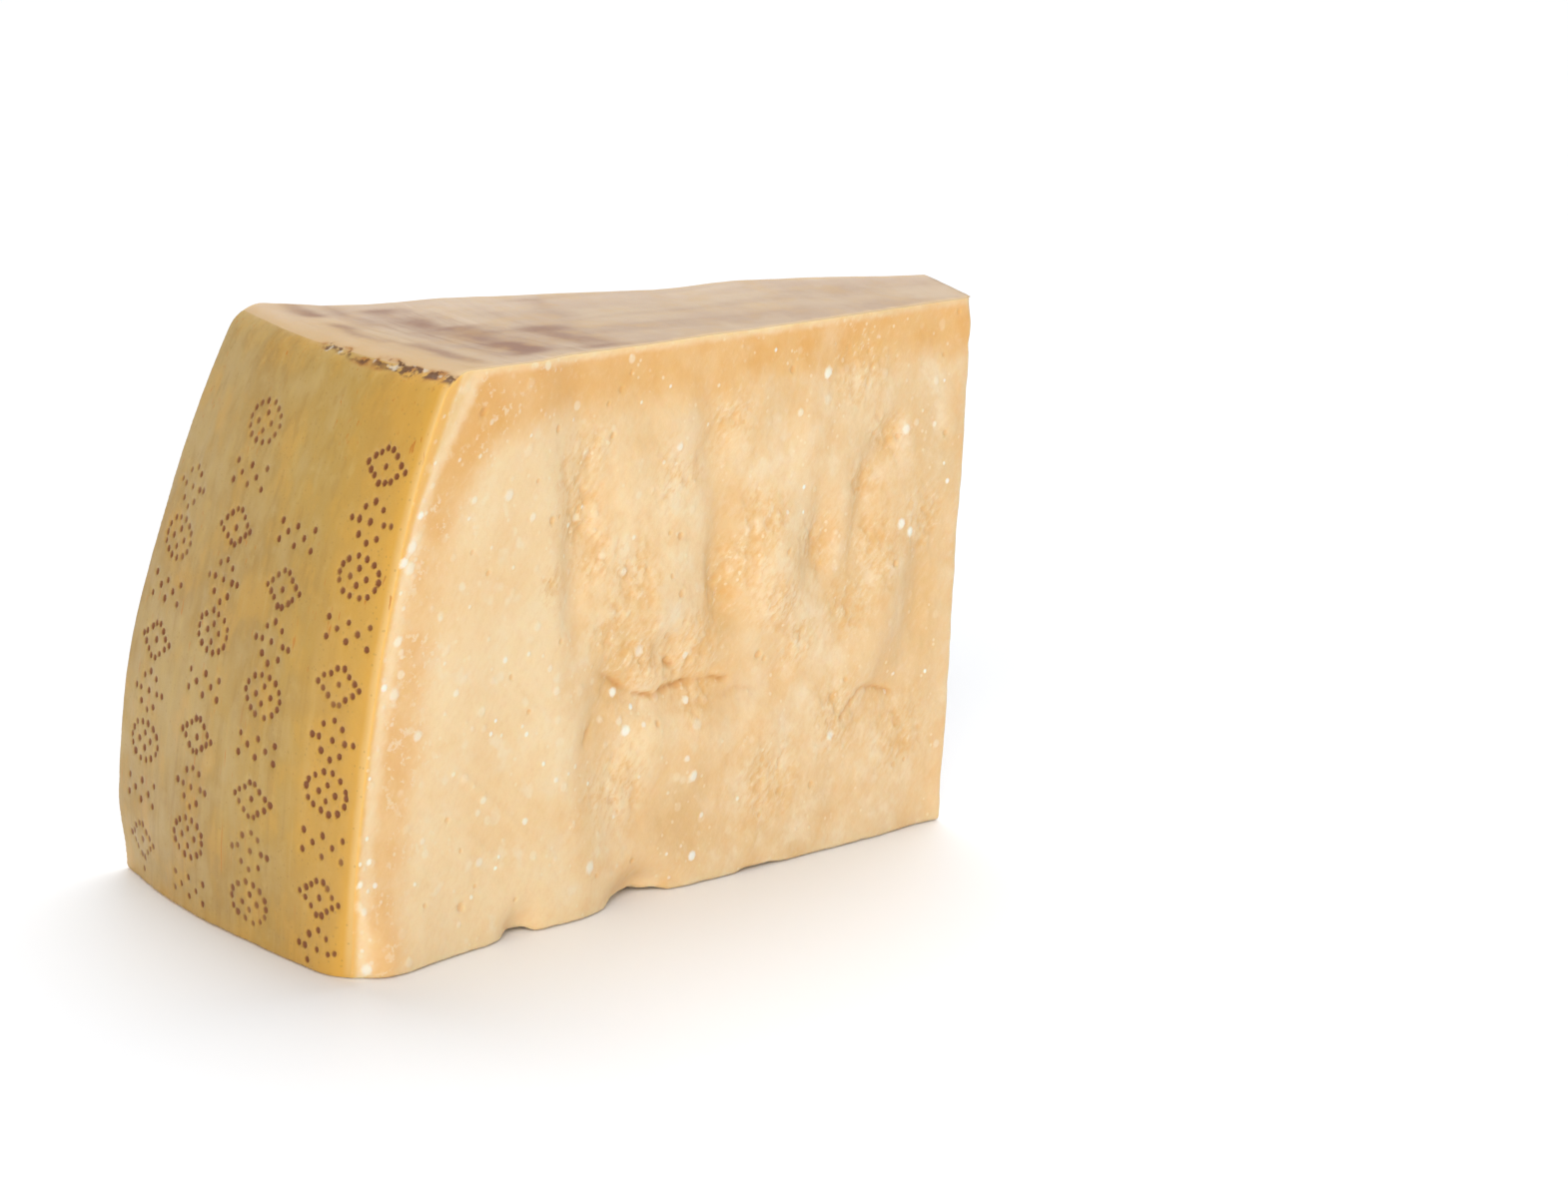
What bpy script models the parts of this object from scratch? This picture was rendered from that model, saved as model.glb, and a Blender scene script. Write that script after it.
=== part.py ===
"""A wedge of hard aged cheese: one sixteenth of the upper half of a wheel, with its tip cut off.

It stands as it did in the wheel. The wheel's side is at -X, the cut tip at +X, the wheel's flat
top is up, and the two broken radial faces point to -Y and +Y. It rests on the flat cut that halved
the wheel. Metres, +Z up, origin at the middle of the base.
"""

import math

import bmesh
import bpy
import numpy as np

# The wheel and the cuts
WHEEL_RADIUS = 0.220
HEIGHT = 0.117
WEDGE_ANGLE = math.radians(22.5)
FACE_LENGTH = 0.178  # foot of the rind to the tip cut, along a broken face
RIM_INSET = 0.0215  # how far the top edge of the rind stands inside its foot
BARREL_POWER = 2.5  # how late the side starts to lean in
RIM_RADIUS = 0.005

# How finely each side is divided
RIM_STEPS = 3
STEPS_ALONG = 32
STEPS_ACROSS = 12
STEPS_UP = 21

# The broken faces
MM = 0.001
EDGE_FADE = 0.010  # the relief dies away this close to the rind
RIND_RELIEF = 0.35  # share of the relief that is left at the rind
TIP_FADE = 0.012  # and this close to the tip
TIP_RELIEF = 0.1
SHELF_DROP = 0.0020  # the inner part lies this far below the smooth part by the rind
SHELF_AT_TOP = 0.052
SHELF_LEAN = 0.16
SHELF_SOFTNESS = 0.004
SHELF_BACK = 0.85  # share of the drop that is regained towards the tip
SHELF_FLOOR = 0.015  # length of its lowest part
SHELF_REACH = 0.075  # length of the climb after that
FOOT_SWELL = 0.0022  # the foot of the smooth part swells out
FOOT_AT = 0.012
FOOT_HALF_LENGTH = 0.014
FOOT_HALF_HEIGHT = 0.016

# The rind and the tip cut
RIND_WAVE = 0.0003
RIND_WAVES = 24  # radians of wave for each radian round the wheel
RIND_WAVES_UP = 60  # radians of wave for each metre up
BELLY = 0.0022  # the far end of the rind bulges low down
BELLY_FULL = 0.017  # the bulge is whole from this height
BELLY_ENDS = 0.038  # it starts to die away here
BELLY_FADE = 0.042  # and takes this long
BELLY_LEFT = 0.15  # share of it that is left above
TIP_ROUGHNESS = 0.0004
TIP_WAVES_UP = 240
TIP_WAVES_ACROSS = 5
TIP_WAVES_DEPTH = 8  # power of the distance in from the rind at which they die away

# The flat top is a little uneven along its two cut edges
NEAR_SAG = 0.0007
NEAR_SAG_FROM = 0.025
NEAR_SAG_LENGTH = 0.040
FAR_RISE = 0.0015
FAR_RISE_FROM = 0.112
FAR_RISE_LENGTH = 0.025
FAR_DIP = 0.0013
FAR_DIP_AT = 0.044
FAR_DIP_HALF_LENGTH = 0.013

# Marks on the near face: distance in from the rind, height above the base, half length and half
# width, all in mm, lean in degrees, and height of the mark in mm (grooves are negative).
NEAR_MARKS = (
    (24, 66, 34, 16, 8, 0.9),
    (60, 76, 18, 5, 2, -1.6),
    (76, 90, 9, 9, 0, 1.3),
    (92, 100, 9, 8, 0, 1.1),
    (110, 101, 9, 8, 0, 1.1),
    (127, 96, 11, 8, 0, 1.3),
    (98, 93, 12, 5, -12, -1.2),
    (83, 61, 10, 9, 0, 2.1),
    (103, 65, 12, 4.6, -3, -2.2),
    (119, 66, 12, 9, 8, 2.4),
    (133, 71, 12, 5, -8, -1.9),
    (150, 87, 10, 4.6, 35, -1.4),
    (146, 71, 9, 4.6, 5, -1.6),
    (156, 57, 11, 8, 10, 1.5),
    (164, 50, 11, 4.6, 8, -1.5),
    (86, 53, 8, 3.8, -57, -1.3),
    (76, 47, 8, 3.8, -59, -1.1),
    (95, 44, 13, 3.8, 88, -1.4),
    (67, 41, 9, 4, 32, -1.0),
    (84, 37, 7, 7, 0, 1.5),
    (99, 30, 9, 9, 0, 1.3),
    (117, 33, 8, 7, 0, 1.2),
    (113, 41, 12, 4, 80, -1.1),
    (152, 33, 11, 4, 85, -1.2),
    (150, 44, 9, 7, 10, 1.2),
    (84, 1, 8, 6, 90, -4.2),
    (47, 0, 5, 5, 90, -2.6),
)

# The far face carries marks of the same kinds, spread by a rule. Lengths and widths in mm.
FAR_MARK_COUNT = 18
FAR_FIRST = 0.052
FAR_SPREAD = 0.122
FAR_LOWEST = 0.08  # as shares of the height
FAR_CLIMB = 0.84
FAR_LENGTH = 12
FAR_LENGTH_MORE = 10
FAR_BUMP_WIDTH = 8
FAR_BUMP_WIDTH_MORE = 3
FAR_GROOVE_WIDTH = 3.8
FAR_BUMP_RISE = 1.5
FAR_GROOVE_RISE = -1.8
FAR_LEAN = 25  # degrees, to either side
FAR_LAID_OVER = 70  # one mark in each five is turned this much further
GOLDEN = (math.sqrt(5) - 1) / 2
PLASTIC = 0.7548776662


def clear_scene():
    for obj in list(bpy.data.objects):
        bpy.data.objects.remove(obj, do_unlink=True)


def smooth(value):
    """0 to 1 as value runs from 0 to 1, level at both ends."""
    value = np.clip(value, 0.0, 1.0)
    return value * value * (3.0 - 2.0 * value)


def mark(inward, height, at_inward, at_height, half_length, half_width, lean, rise):
    """One long soft bump, or a groove where rise is negative."""
    cos, sin = math.cos(math.radians(lean)), math.sin(math.radians(lean))
    right, up = inward - at_inward * MM, height - at_height * MM
    along = (up * cos + right * sin) / (half_length * MM)
    across = (right * cos - up * sin) / (half_width * MM)
    return rise * MM * math.exp(-along * along - across * across)


def stride(i, step, start=0.0):
    """A number from 0 to 1 that hops about evenly as i counts up."""
    return (i * step + start) % 1.0


def far_marks():
    """Bumps and grooves by turns, stepped over the face by two irrational strides."""
    marks = []
    for i in range(FAR_MARK_COUNT):
        inward = FAR_FIRST + FAR_SPREAD * stride(i, GOLDEN, 0.3)
        height = HEIGHT * (FAR_LOWEST + FAR_CLIMB * stride(i, PLASTIC, 0.1))
        length = FAR_LENGTH + FAR_LENGTH_MORE * stride(i, 3 * PLASTIC)
        width, rise = FAR_GROOVE_WIDTH, FAR_GROOVE_RISE
        if i % 2 == 1:
            width = FAR_BUMP_WIDTH + FAR_BUMP_WIDTH_MORE * stride(i, 5 * GOLDEN)
            rise = FAR_BUMP_RISE
        lean = FAR_LEAN * (2 * stride(i, 7 * GOLDEN) - 1)
        if i % 5 == 4:
            lean += FAR_LAID_OVER
        marks.append((inward / MM, height / MM, length, width, lean, rise))
    return tuple(marks)


def relief(inward, height, marks):
    """How far a broken face stands out from its plane."""
    past_shelf = inward - SHELF_AT_TOP - SHELF_LEAN * (HEIGHT - height)
    shelf = SHELF_DROP * smooth(0.5 + past_shelf / (4 * SHELF_SOFTNESS))
    shelf *= 1 - SHELF_BACK * smooth((past_shelf - SHELF_FLOOR) / SHELF_REACH)
    from_swell = (inward - FOOT_AT) / FOOT_HALF_LENGTH
    foot = FOOT_SWELL * math.exp(-from_swell * from_swell - (height / FOOT_HALF_HEIGHT) ** 2)
    total = foot - shelf + sum(mark(inward, height, *entry) for entry in marks)
    total *= RIND_RELIEF + (1 - RIND_RELIEF) * smooth(inward / EDGE_FADE)
    return total * smooth((FACE_LENGTH - inward) / TIP_FADE + TIP_RELIEF)


def top_lift(inward, across):
    """How far the top stands above or below level."""
    near = -NEAR_SAG * smooth((inward - NEAR_SAG_FROM) / NEAR_SAG_LENGTH)
    from_dip = (inward - FAR_DIP_AT) / FAR_DIP_HALF_LENGTH
    dip = FAR_DIP * math.exp(-from_dip * from_dip)
    far = FAR_RISE * smooth((inward - FAR_RISE_FROM) / FAR_RISE_LENGTH) - dip
    return near * (1.0 - across) + far * across


def belly(height):
    """The bulge of the far end of the rind."""
    faded = 1 - (1 - BELLY_LEFT) * smooth((height - BELLY_ENDS) / BELLY_FADE)
    return BELLY * smooth(height / BELLY_FULL) * faded


def side_inset(height):
    """How far the barrel side stands inside the wheel's radius at this height."""
    return RIM_INSET * (height / HEIGHT) ** BARREL_POWER


def round_rim(inward, drop):
    """Moves a point of the rim's square corner onto its quarter circle."""
    if inward >= RIM_RADIUS or drop >= RIM_RADIUS:
        return inward, drop
    out, up = RIM_RADIUS - inward, RIM_RADIUS - drop
    reach = math.hypot(out, up)
    scale = max(out, up) / reach
    return RIM_RADIUS - out * scale, RIM_RADIUS - up * scale


def stations(length, steps):
    """Distances from the rim: short steps round its curve, then even ones."""
    near = [RIM_RADIUS * i / RIM_STEPS for i in range(RIM_STEPS)]
    rest = [RIM_RADIUS + (length - RIM_RADIUS) * i / steps for i in range(steps + 1)]
    return near + rest


def wedge_point(inward, drop, across, near, far):
    """A point of the wedge: inward from the rind, down from the top, 0 to 1 from near to far."""
    along = inward / FACE_LENGTH
    inward, drop = round_rim(inward, drop)
    height = HEIGHT - drop
    beyond_rim = max(inward - RIM_RADIUS, 0.0) / (FACE_LENGTH - RIM_RADIUS)
    radius = WHEEL_RADIUS - inward - side_inset(height) * (1.0 - beyond_rim)
    half = WEDGE_ANGLE / 2
    angle = half * (2.0 * across - 1.0)
    straight = radius * math.cos(half) / math.cos(angle)
    radius += (straight - radius) * along
    from_foot = WHEEL_RADIUS - radius
    wave = RIND_WAVE * math.sin(angle * RIND_WAVES + height * RIND_WAVES_UP)
    rough = TIP_ROUGHNESS * math.sin(height * TIP_WAVES_UP + across * TIP_WAVES_ACROSS)
    radius += (wave + belly(height) * across ** 2) * (1.0 - along)
    radius -= rough * along ** TIP_WAVES_DEPTH
    x, y = -radius * math.cos(angle), radius * math.sin(angle)
    near_out = relief(from_foot, height, near) * (1.0 - across)
    far_out = relief(from_foot, height, far) * across
    x += (near_out + far_out) * math.sin(half)
    y += (far_out - near_out) * math.cos(half)
    return x, y, height + top_lift(from_foot, across) * height / HEIGHT


def wedge_mesh(name):
    """A closed shell of quads over the wedge's sides and top, with one flat polygon below."""
    inward = stations(FACE_LENGTH, STEPS_ALONG)
    drops = stations(HEIGHT, STEPS_UP)
    columns, rows = len(inward) - 1, len(drops) - 1
    far = far_marks()
    shell = bmesh.new()
    points = {}

    def vertex(i, j, k):
        if (i, j, k) not in points:
            place = wedge_point(inward[i], drops[k], j / STEPS_ACROSS, NEAR_MARKS, far)
            points[i, j, k] = shell.verts.new(place)
        return points[i, j, k]

    def patch(count_a, count_b, corner):
        for a in range(count_a):
            for b in range(count_b):
                shell.faces.new(
                    [corner(a, b), corner(a + 1, b), corner(a + 1, b + 1), corner(a, b + 1)]
                )

    patch(columns, rows, lambda a, b: vertex(a, 0, b))
    patch(rows, columns, lambda a, b: vertex(b, STEPS_ACROSS, a))
    patch(rows, STEPS_ACROSS, lambda a, b: vertex(0, b, a))
    patch(STEPS_ACROSS, rows, lambda a, b: vertex(columns, a, b))
    patch(STEPS_ACROSS, columns, lambda a, b: vertex(b, a, 0))
    outline = [vertex(i, 0, rows) for i in range(columns)]
    outline += [vertex(columns, j, rows) for j in range(STEPS_ACROSS)]
    outline += [vertex(i, STEPS_ACROSS, rows) for i in range(columns, 0, -1)]
    outline += [vertex(0, j, rows) for j in range(STEPS_ACROSS, 0, -1)]
    shell.faces.new(outline)
    bmesh.ops.recalc_face_normals(shell, faces=shell.faces)

    places = np.array([corner.co for corner in shell.verts])
    middle = (places.min(axis=0) + places.max(axis=0)) / 2
    bmesh.ops.translate(shell, verts=shell.verts, vec=(-middle[0], -middle[1], 0.0))
    mesh = bpy.data.meshes.new(name)
    shell.to_mesh(mesh)
    shell.free()
    return mesh


def cheese_material():
    material = bpy.data.materials.new("hard_cheese")
    material.use_nodes = True
    shader = material.node_tree.nodes["Principled BSDF"]
    shader.inputs["Base Color"].default_value = (0.82, 0.58, 0.32, 1.0)
    shader.inputs["Roughness"].default_value = 0.55
    shader.inputs["Metallic"].default_value = 0.0
    return material


def main():
    clear_scene()
    chunk = bpy.data.objects.new("cheese_chunk", wedge_mesh("cheese_chunk"))
    bpy.context.scene.collection.objects.link(chunk)
    chunk.data.materials.append(cheese_material())
    chunk.data.shade_smooth()
    chunk.data.set_sharp_from_angle(angle=math.radians(40))


main()
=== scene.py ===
import math

import bpy
import numpy as np
from mathutils import Matrix, Vector
from mathutils.geometry import delaunay_2d_cdt


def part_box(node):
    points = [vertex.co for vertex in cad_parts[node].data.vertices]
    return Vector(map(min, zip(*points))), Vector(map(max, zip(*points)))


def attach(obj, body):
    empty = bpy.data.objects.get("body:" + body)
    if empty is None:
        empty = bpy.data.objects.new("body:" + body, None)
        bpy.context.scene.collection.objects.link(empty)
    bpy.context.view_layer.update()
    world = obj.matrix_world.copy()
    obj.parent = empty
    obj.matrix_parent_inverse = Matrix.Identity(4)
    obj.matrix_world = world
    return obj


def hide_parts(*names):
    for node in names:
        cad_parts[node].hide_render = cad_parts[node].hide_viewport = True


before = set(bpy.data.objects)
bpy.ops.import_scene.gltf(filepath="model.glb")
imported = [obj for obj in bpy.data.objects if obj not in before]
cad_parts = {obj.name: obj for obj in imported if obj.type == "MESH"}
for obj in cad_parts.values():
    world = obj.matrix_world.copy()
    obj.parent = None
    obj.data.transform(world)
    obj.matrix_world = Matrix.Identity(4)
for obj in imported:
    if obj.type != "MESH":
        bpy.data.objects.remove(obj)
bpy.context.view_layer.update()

NODE = "cheese_chunk"
LOW, HIGH = (np.array(corner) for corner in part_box(NODE))
MM = 0.001

# ---------------------------------------------------------------- sizes, in millimetres
HEIGHT = 117.0
WHEEL_RADIUS = 220.0
WEDGE_ANGLE = math.radians(22.5)
HALF_ANGLE = WEDGE_ANGLE / 2
FACE_LENGTH = 178.0
RIM_INSET = 21.5
BARREL_POWER = 2.5
RIM_RADIUS = 5.0
TIP_RADIUS = WHEEL_RADIUS - FACE_LENGTH
RIND_WIDTH = WEDGE_ANGLE * WHEEL_RADIUS
TIP_WIDTH = WEDGE_ANGLE * TIP_RADIUS

# Spacing of the surface mesh
SMOOTH_STEP = 1.0
CRUMBLY_STEP = 0.70
FAR_STEP = 1.35
RIND_STEP = 1.3
TOP_STEP = 1.7
PLAIN_STEP = 3.0
CRYSTALS = 240

# The broken faces: see near_marks in the solid, which these repeat
EDGE_FADE = 10.0
RIND_RELIEF = 0.35
SHELF_DROP = 2.0
SHELF_AT_TOP = 52.0
SHELF_LEAN = 0.16
SHELF_SOFTNESS = 4.0
SHELF_BACK = 0.85  # share of the drop regained towards the tip
SHELF_REACH = 75.0
TIP_FADE = 12.0
NEAR_SAG = 0.7  # the top lies lower along the near face
FAR_DIP = 1.3
FAR_RISE = 1.5  # and higher at the far end of the tip
FAR_BELLY = 2.2  # the far end of the rind bulges low down
FOOT_SWELL = 2.2
RIND_WAVE = 0.3
RIND_WAVES = 24

# inward from the rind, height, half length, half width, lean in degrees, rise
NEAR_MARKS = (
    (24, 66, 34, 16, 8, 0.9),
    (60, 76, 18, 5, 2, -1.6),
    (76, 90, 9, 9, 0, 1.3),
    (92, 100, 9, 8, 0, 1.1),
    (110, 101, 9, 8, 0, 1.1),
    (127, 96, 11, 8, 0, 1.3),
    (98, 93, 12, 5, -12, -1.2),
    (83, 61, 10, 9, 0, 2.1),
    (103, 65, 12, 4.6, -3, -2.2),
    (119, 66, 12, 9, 8, 2.4),
    (133, 71, 12, 5, -8, -1.9),
    (150, 87, 10, 4.6, 35, -1.4),
    (146, 71, 9, 4.6, 5, -1.6),
    (156, 57, 11, 8, 10, 1.5),
    (164, 50, 11, 4.6, 8, -1.5),
    (86, 53, 8, 3.8, -57, -1.3),
    (76, 47, 8, 3.8, -59, -1.1),
    (95, 44, 13, 3.8, 88, -1.4),
    (67, 41, 9, 4, 32, -1.0),
    (84, 37, 7, 7, 0, 1.5),
    (99, 30, 9, 9, 0, 1.3),
    (117, 33, 8, 7, 0, 1.2),
    (113, 41, 12, 4, 80, -1.1),
    (152, 33, 11, 4, 85, -1.2),
    (150, 44, 9, 7, 10, 1.2),
    (84, 1, 8, 6, 90, -4.2),
    (47, 0, 5, 5, 90, -2.6),
)
FAR_MARK_COUNT = 18
FAR_FIRST = 52.0
FAR_SPREAD = 122.0
GOLDEN = (math.sqrt(5) - 1) / 2
PLASTIC = 0.7548776662

# Cracks in the near face: points along each, then half width and depth
CRACKS = (
    (((68, 51), (72, 49), (76, 46), (80, 44), (85, 43), (90, 44), (96, 45), (101, 44), (107, 43)), 0.55, 1.0),
    (((79, 57), (82, 55), (85, 53), (88, 50), (90, 49)), 0.6, 1.1),
    (((107, 40), (111, 41), (116, 40), (122, 41)), 0.5, 0.5),
    (((143, 29), (146, 33), (150, 35), (156, 33), (162, 32)), 0.55, 0.6),
    (((71, 48), (67, 42), (64, 37)), 0.6, 0.5),
)
# Places where the paste is torn and grainy: inward, height, half size
TORN = (
    (60, 85, 7), (65, 75, 6), (77, 69, 7), (108, 69, 8), (119, 59, 7), (143, 54, 7),
    (78, 52, 10), (96, 50, 9), (63, 97, 6), (57, 92, 5), (74, 26, 9), (162, 23, 9),
    (141, 108, 9), (97, 41, 6), (113, 76, 7), (53, 70, 4), (127, 49, 6), (142, 29, 8),
    (88, 88, 7), (150, 66, 8), (147, 79, 5), (153, 90, 5), (104, 62, 5), (70, 60, 7), (132, 70, 6), (103, 98, 7), (120, 20, 9), (165, 70, 7),
)
# Painted shade, where the near face turns from the light: inward, height, half length, half width, lean, strength
PAINTED_SHADE_PLACES = (
    (84, 101, 11, 34, 0, 0.40), (104, 58, 19, 6.5, -2, 1.0), (72, 48, 20, 6, 15, 0.90), (78, 62, 7, 6, 0, 0.60),
    (168, 49, 27, 6, -2, 0.95), (64, 95, 9, 7, 0, 0.60), (92, 17, 10, 10, 30, 0.85), (155, 40, 10, 9, 0, 0.50),
)
# Chips lift the foot of the near face off the board: inward, half length, lift
CHIPS = ((47.5, 3.4, 1.1), (80.0, 5.0, 1.3), (88.0, 3.5, 0.9), (120.0, 5.0, 0.6))

# ---------------------------------------------------------------- smooth noise


def ease(value):
    value = np.clip(value, 0.0, 1.0)
    return value * value * (3.0 - 2.0 * value)


def lattice(x, y, seed):
    """Smooth noise with cells one unit wide, from -1 to 1."""
    table = np.random.default_rng(seed).uniform(-1, 1, (64, 64))
    column, row = np.floor(x).astype(int), np.floor(y).astype(int)
    right, up = ease(x - column), ease(y - row)

    def corner(a, b):
        return table[(column + a) % 64, (row + b) % 64]

    low = corner(0, 0) * (1 - right) + corner(1, 0) * right
    high = corner(0, 1) * (1 - right) + corner(1, 1) * right
    return low * (1 - up) + high * up


def layered(x, y, size, seed, layers=4, falloff=0.5):
    """Several sizes of smooth noise, each half the one before."""
    total, weight = 0.0, 0.0
    for layer in range(layers):
        share = falloff ** layer
        scale = 2 ** layer / size
        total = total + share * lattice(x * scale + 9.3 * layer, y * scale, seed + layer)
        weight += share
    return total / weight


def plates(x, y, size, seed):
    """The level of a surface broken into tilted plates, from about -1 to 1."""
    rng = np.random.default_rng(seed)
    shift, tilt = rng.uniform(0.1, 0.9, (2, 64, 64)), rng.uniform(-1.2, 1.2, (2, 64, 64))
    level = rng.uniform(-0.7, 0.7, (64, 64))
    x, y = x / size, y / size
    column, row = np.floor(x).astype(int), np.floor(y).astype(int)
    nearest = np.full(x.shape, np.inf)
    result = np.zeros(x.shape)
    for a in (-1, 0, 1):
        for b in (-1, 0, 1):
            i, j = (column + a) % 64, (row + b) % 64
            right = x - column - a - shift[0][i, j]
            up = y - row - b - shift[1][i, j]
            distance = right * right + up * up
            here = level[i, j] + tilt[0][i, j] * right + tilt[1][i, j] * up
            result = np.where(distance < nearest, here, result)
            nearest = np.minimum(nearest, distance)
    return result


def path_distance(x, y, points):
    """Distance from each point to a broken line."""
    nearest = np.full(x.shape, np.inf)
    for (ax, ay), (bx, by) in zip(points, points[1:]):
        run, rise = bx - ax, by - ay
        share = np.clip(((x - ax) * run + (y - ay) * rise) / (run * run + rise * rise), 0, 1)
        nearest = np.minimum(nearest, np.hypot(x - ax - share * run, y - ay - share * rise))
    return nearest


# ---------------------------------------------------------------- the wedge's form


def far_marks():
    marks = []
    for i in range(FAR_MARK_COUNT):
        inward = FAR_FIRST + FAR_SPREAD * ((i * GOLDEN + 0.3) % 1.0)
        height = HEIGHT * (0.08 + 0.84 * ((i * PLASTIC + 0.1) % 1.0))
        groove = i % 2 == 0
        length = 12 + 10 * ((i * PLASTIC * 3) % 1.0)
        width = 3.8 if groove else 8 + 3 * ((i * GOLDEN * 5) % 1.0)
        lean = -25 + 50 * ((i * GOLDEN * 7) % 1.0) + (70 if i % 5 == 4 else 0)
        marks.append((inward, height, length, width, lean, -1.8 if groove else 1.5))
    return tuple(marks)


def groove_depth(inward, height):
    """How deep in a groove of the near face each point lies, 0 to 1."""
    grooves = [mark for mark in NEAR_MARKS if mark[5] < 0]
    sunk = broad_relief(inward, height, ()) - broad_relief(inward, height, grooves)
    return np.clip(sunk / 1.4, 0, 1)


# Painted shade: how strongly each point lies in the places that turn from the light, 0 to 1.
def painted_shade_places(inward, height):
    total = np.zeros(inward.shape)
    for at_inward, at_height, half_length, half_width, lean, strength in PAINTED_SHADE_PLACES:
        cos, sin = math.cos(math.radians(lean)), math.sin(math.radians(lean))
        right, up = inward - at_inward, height - at_height
        along = (up * cos + right * sin) / half_length
        across = (right * cos - up * sin) / half_width
        total = np.maximum(total, strength * np.exp(-along * along - across * across))
    return total


def shelf_line(height):
    return SHELF_AT_TOP + SHELF_LEAN * (HEIGHT - height)


def broad_relief(inward, height, marks):
    """The large bumps and grooves of a broken face."""
    past_shelf = inward - shelf_line(height)
    regained = 1 - SHELF_BACK * ease((past_shelf - 15) / SHELF_REACH)
    total = -SHELF_DROP * ease(0.5 + past_shelf / (4 * SHELF_SOFTNESS)) * regained
    total += FOOT_SWELL * np.exp(-(((inward - 12) / 14) ** 2) - (height / 16) ** 2)
    for at_inward, at_height, half_length, half_width, lean, rise in marks:
        cos, sin = math.cos(math.radians(lean)), math.sin(math.radians(lean))
        right, up = inward - at_inward, height - at_height
        along = (up * cos + right * sin) / half_length
        across = (right * cos - up * sin) / half_width
        total += rise * np.exp(-along * along - across * across)
    total *= RIND_RELIEF + (1 - RIND_RELIEF) * ease(inward / EDGE_FADE)
    return total * ease((FACE_LENGTH - inward) / TIP_FADE + 0.1)


def top_lift(inward, across):
    """How much the top stands above or below level."""
    near = -NEAR_SAG * ease((inward - 25) / 40)
    far = FAR_RISE * ease((inward - 112) / 25) - FAR_DIP * np.exp(-(((inward - 44) / 13) ** 2))
    return near * (1 - across) + far * across


def belly(height):
    """The bulge of the far end of the rind."""
    return FAR_BELLY * ease(height / 17) * (1 - 0.85 * ease((height - 38) / 42))


def side_inset(height):
    return RIM_INSET * (np.clip(height, 0, HEIGHT) / HEIGHT) ** BARREL_POWER


def round_rim(inward, drop):
    out, up = RIM_RADIUS - inward, RIM_RADIUS - drop
    corner = (out > 0) & (up > 0)
    reach = np.where(corner, np.hypot(out, up), 1.0)
    scale = np.where(corner, np.maximum(out, up) / np.maximum(reach, 1e-9), 1.0)
    return (
        np.where(corner, RIM_RADIUS - out * scale, inward),
        np.where(corner, RIM_RADIUS - up * scale, drop),
    )


def plan_radius(inward, height, angle):
    """Distance from the wheel's axis: round at the rind, straight across at the tip."""
    beyond_rim = np.maximum(inward - RIM_RADIUS, 0) / (FACE_LENGTH - RIM_RADIUS)
    radius = WHEEL_RADIUS - inward - side_inset(height) * (1 - beyond_rim)
    straight = radius * math.cos(HALF_ANGLE) / np.cos(angle)
    return radius + (straight - radius) * inward / FACE_LENGTH


# ---------------------------------------------------------------- fine relief

PIT_DEPTH = 0.30
SMOOTH_PART = 0.16  # share of the crumble that shows on the smooth part by the rind


def torn(inward, height):
    """Where the near face is torn and grainy, from 0 to 1."""
    bend = 3.0 * layered(inward, height, 7, 61, 3)
    total = 0.0
    for at_inward, at_height, half_size in TORN:
        right, up = (inward - at_inward + bend) / half_size, (height - at_height - bend) / half_size
        total = np.maximum(total, np.exp(-((right * right + up * up) ** 1.3)))
    return total


def crumble(inward, height, seed, tears):
    """The crumbled grain of a broken face."""
    bend_x = inward + 3.0 * layered(inward, height, 10, seed, 4, 0.6)
    bend_y = height + 3.0 * layered(inward, height, 10, seed + 5, 4, 0.6)
    coarse = 0.16 * plates(bend_x, bend_y * 0.72, 11, seed + 10) * tears
    middle = 0.13 * plates(bend_x, bend_y, 4.6, seed + 11) * (0.4 + 0.9 * tears)
    small = 0.08 * plates(bend_x, bend_y, 2.1, seed + 12) * (0.3 + 1.3 * tears)
    soft = 0.62 * layered(inward, height * 0.8, 13, seed + 20, 5, 0.46)
    broken = ease((inward - shelf_line(height) + 5) / 12)
    broken = broken * ease((HEIGHT - height) / 16 + 0.2)
    strength = SMOOTH_PART + (1 - SMOOTH_PART) * broken
    return (coarse + middle + small) * strength + soft * (0.3 + 0.7 * broken)


def pits(inward, height, seed, tears):
    """Small sharp holes torn out of the grain."""
    fine = layered(inward, height, 2.3, seed, 3, 0.6)
    chance = 0.34 - 0.42 * tears + 0.25 * layered(inward, height, 18, seed + 6, 2)
    return PIT_DEPTH * ease((fine - chance) / 0.35) * (0.2 + 0.8 * tears)


def knife_marks(inward, height):
    """Faint slanting scores on the lower smooth part of the near face."""
    across = inward * 0.62 + height * 0.78 + 0.8 * layered(inward, height, 20, 71, 2)
    scores = lattice(across / 1.7, (inward - height) / 60, 72)
    place = np.exp(-(((inward - 38) / 20) ** 2) - ((height - 32) / 22) ** 2)
    return 0.13 * scores * place


def crack_depth(inward, height):
    """How deep the cracks of the near face are at each point."""
    waver = 0.9 * layered(inward, height, 2.6, 81, 3, 0.6)
    broken = 0.15 + 0.95 * ease(0.5 + 2.2 * layered(inward, height, 6, 86, 2))
    depth = np.zeros(np.shape(inward))
    for points, half_width, deep in CRACKS:
        away = np.maximum(path_distance(inward + waver, height - waver, points), 0)
        depth = np.maximum(depth, deep * broken * np.exp(-((away / half_width) ** 1.4)))
    return depth


# ---------------------------------------------------------------- spots: dots, crystals and pits


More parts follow.
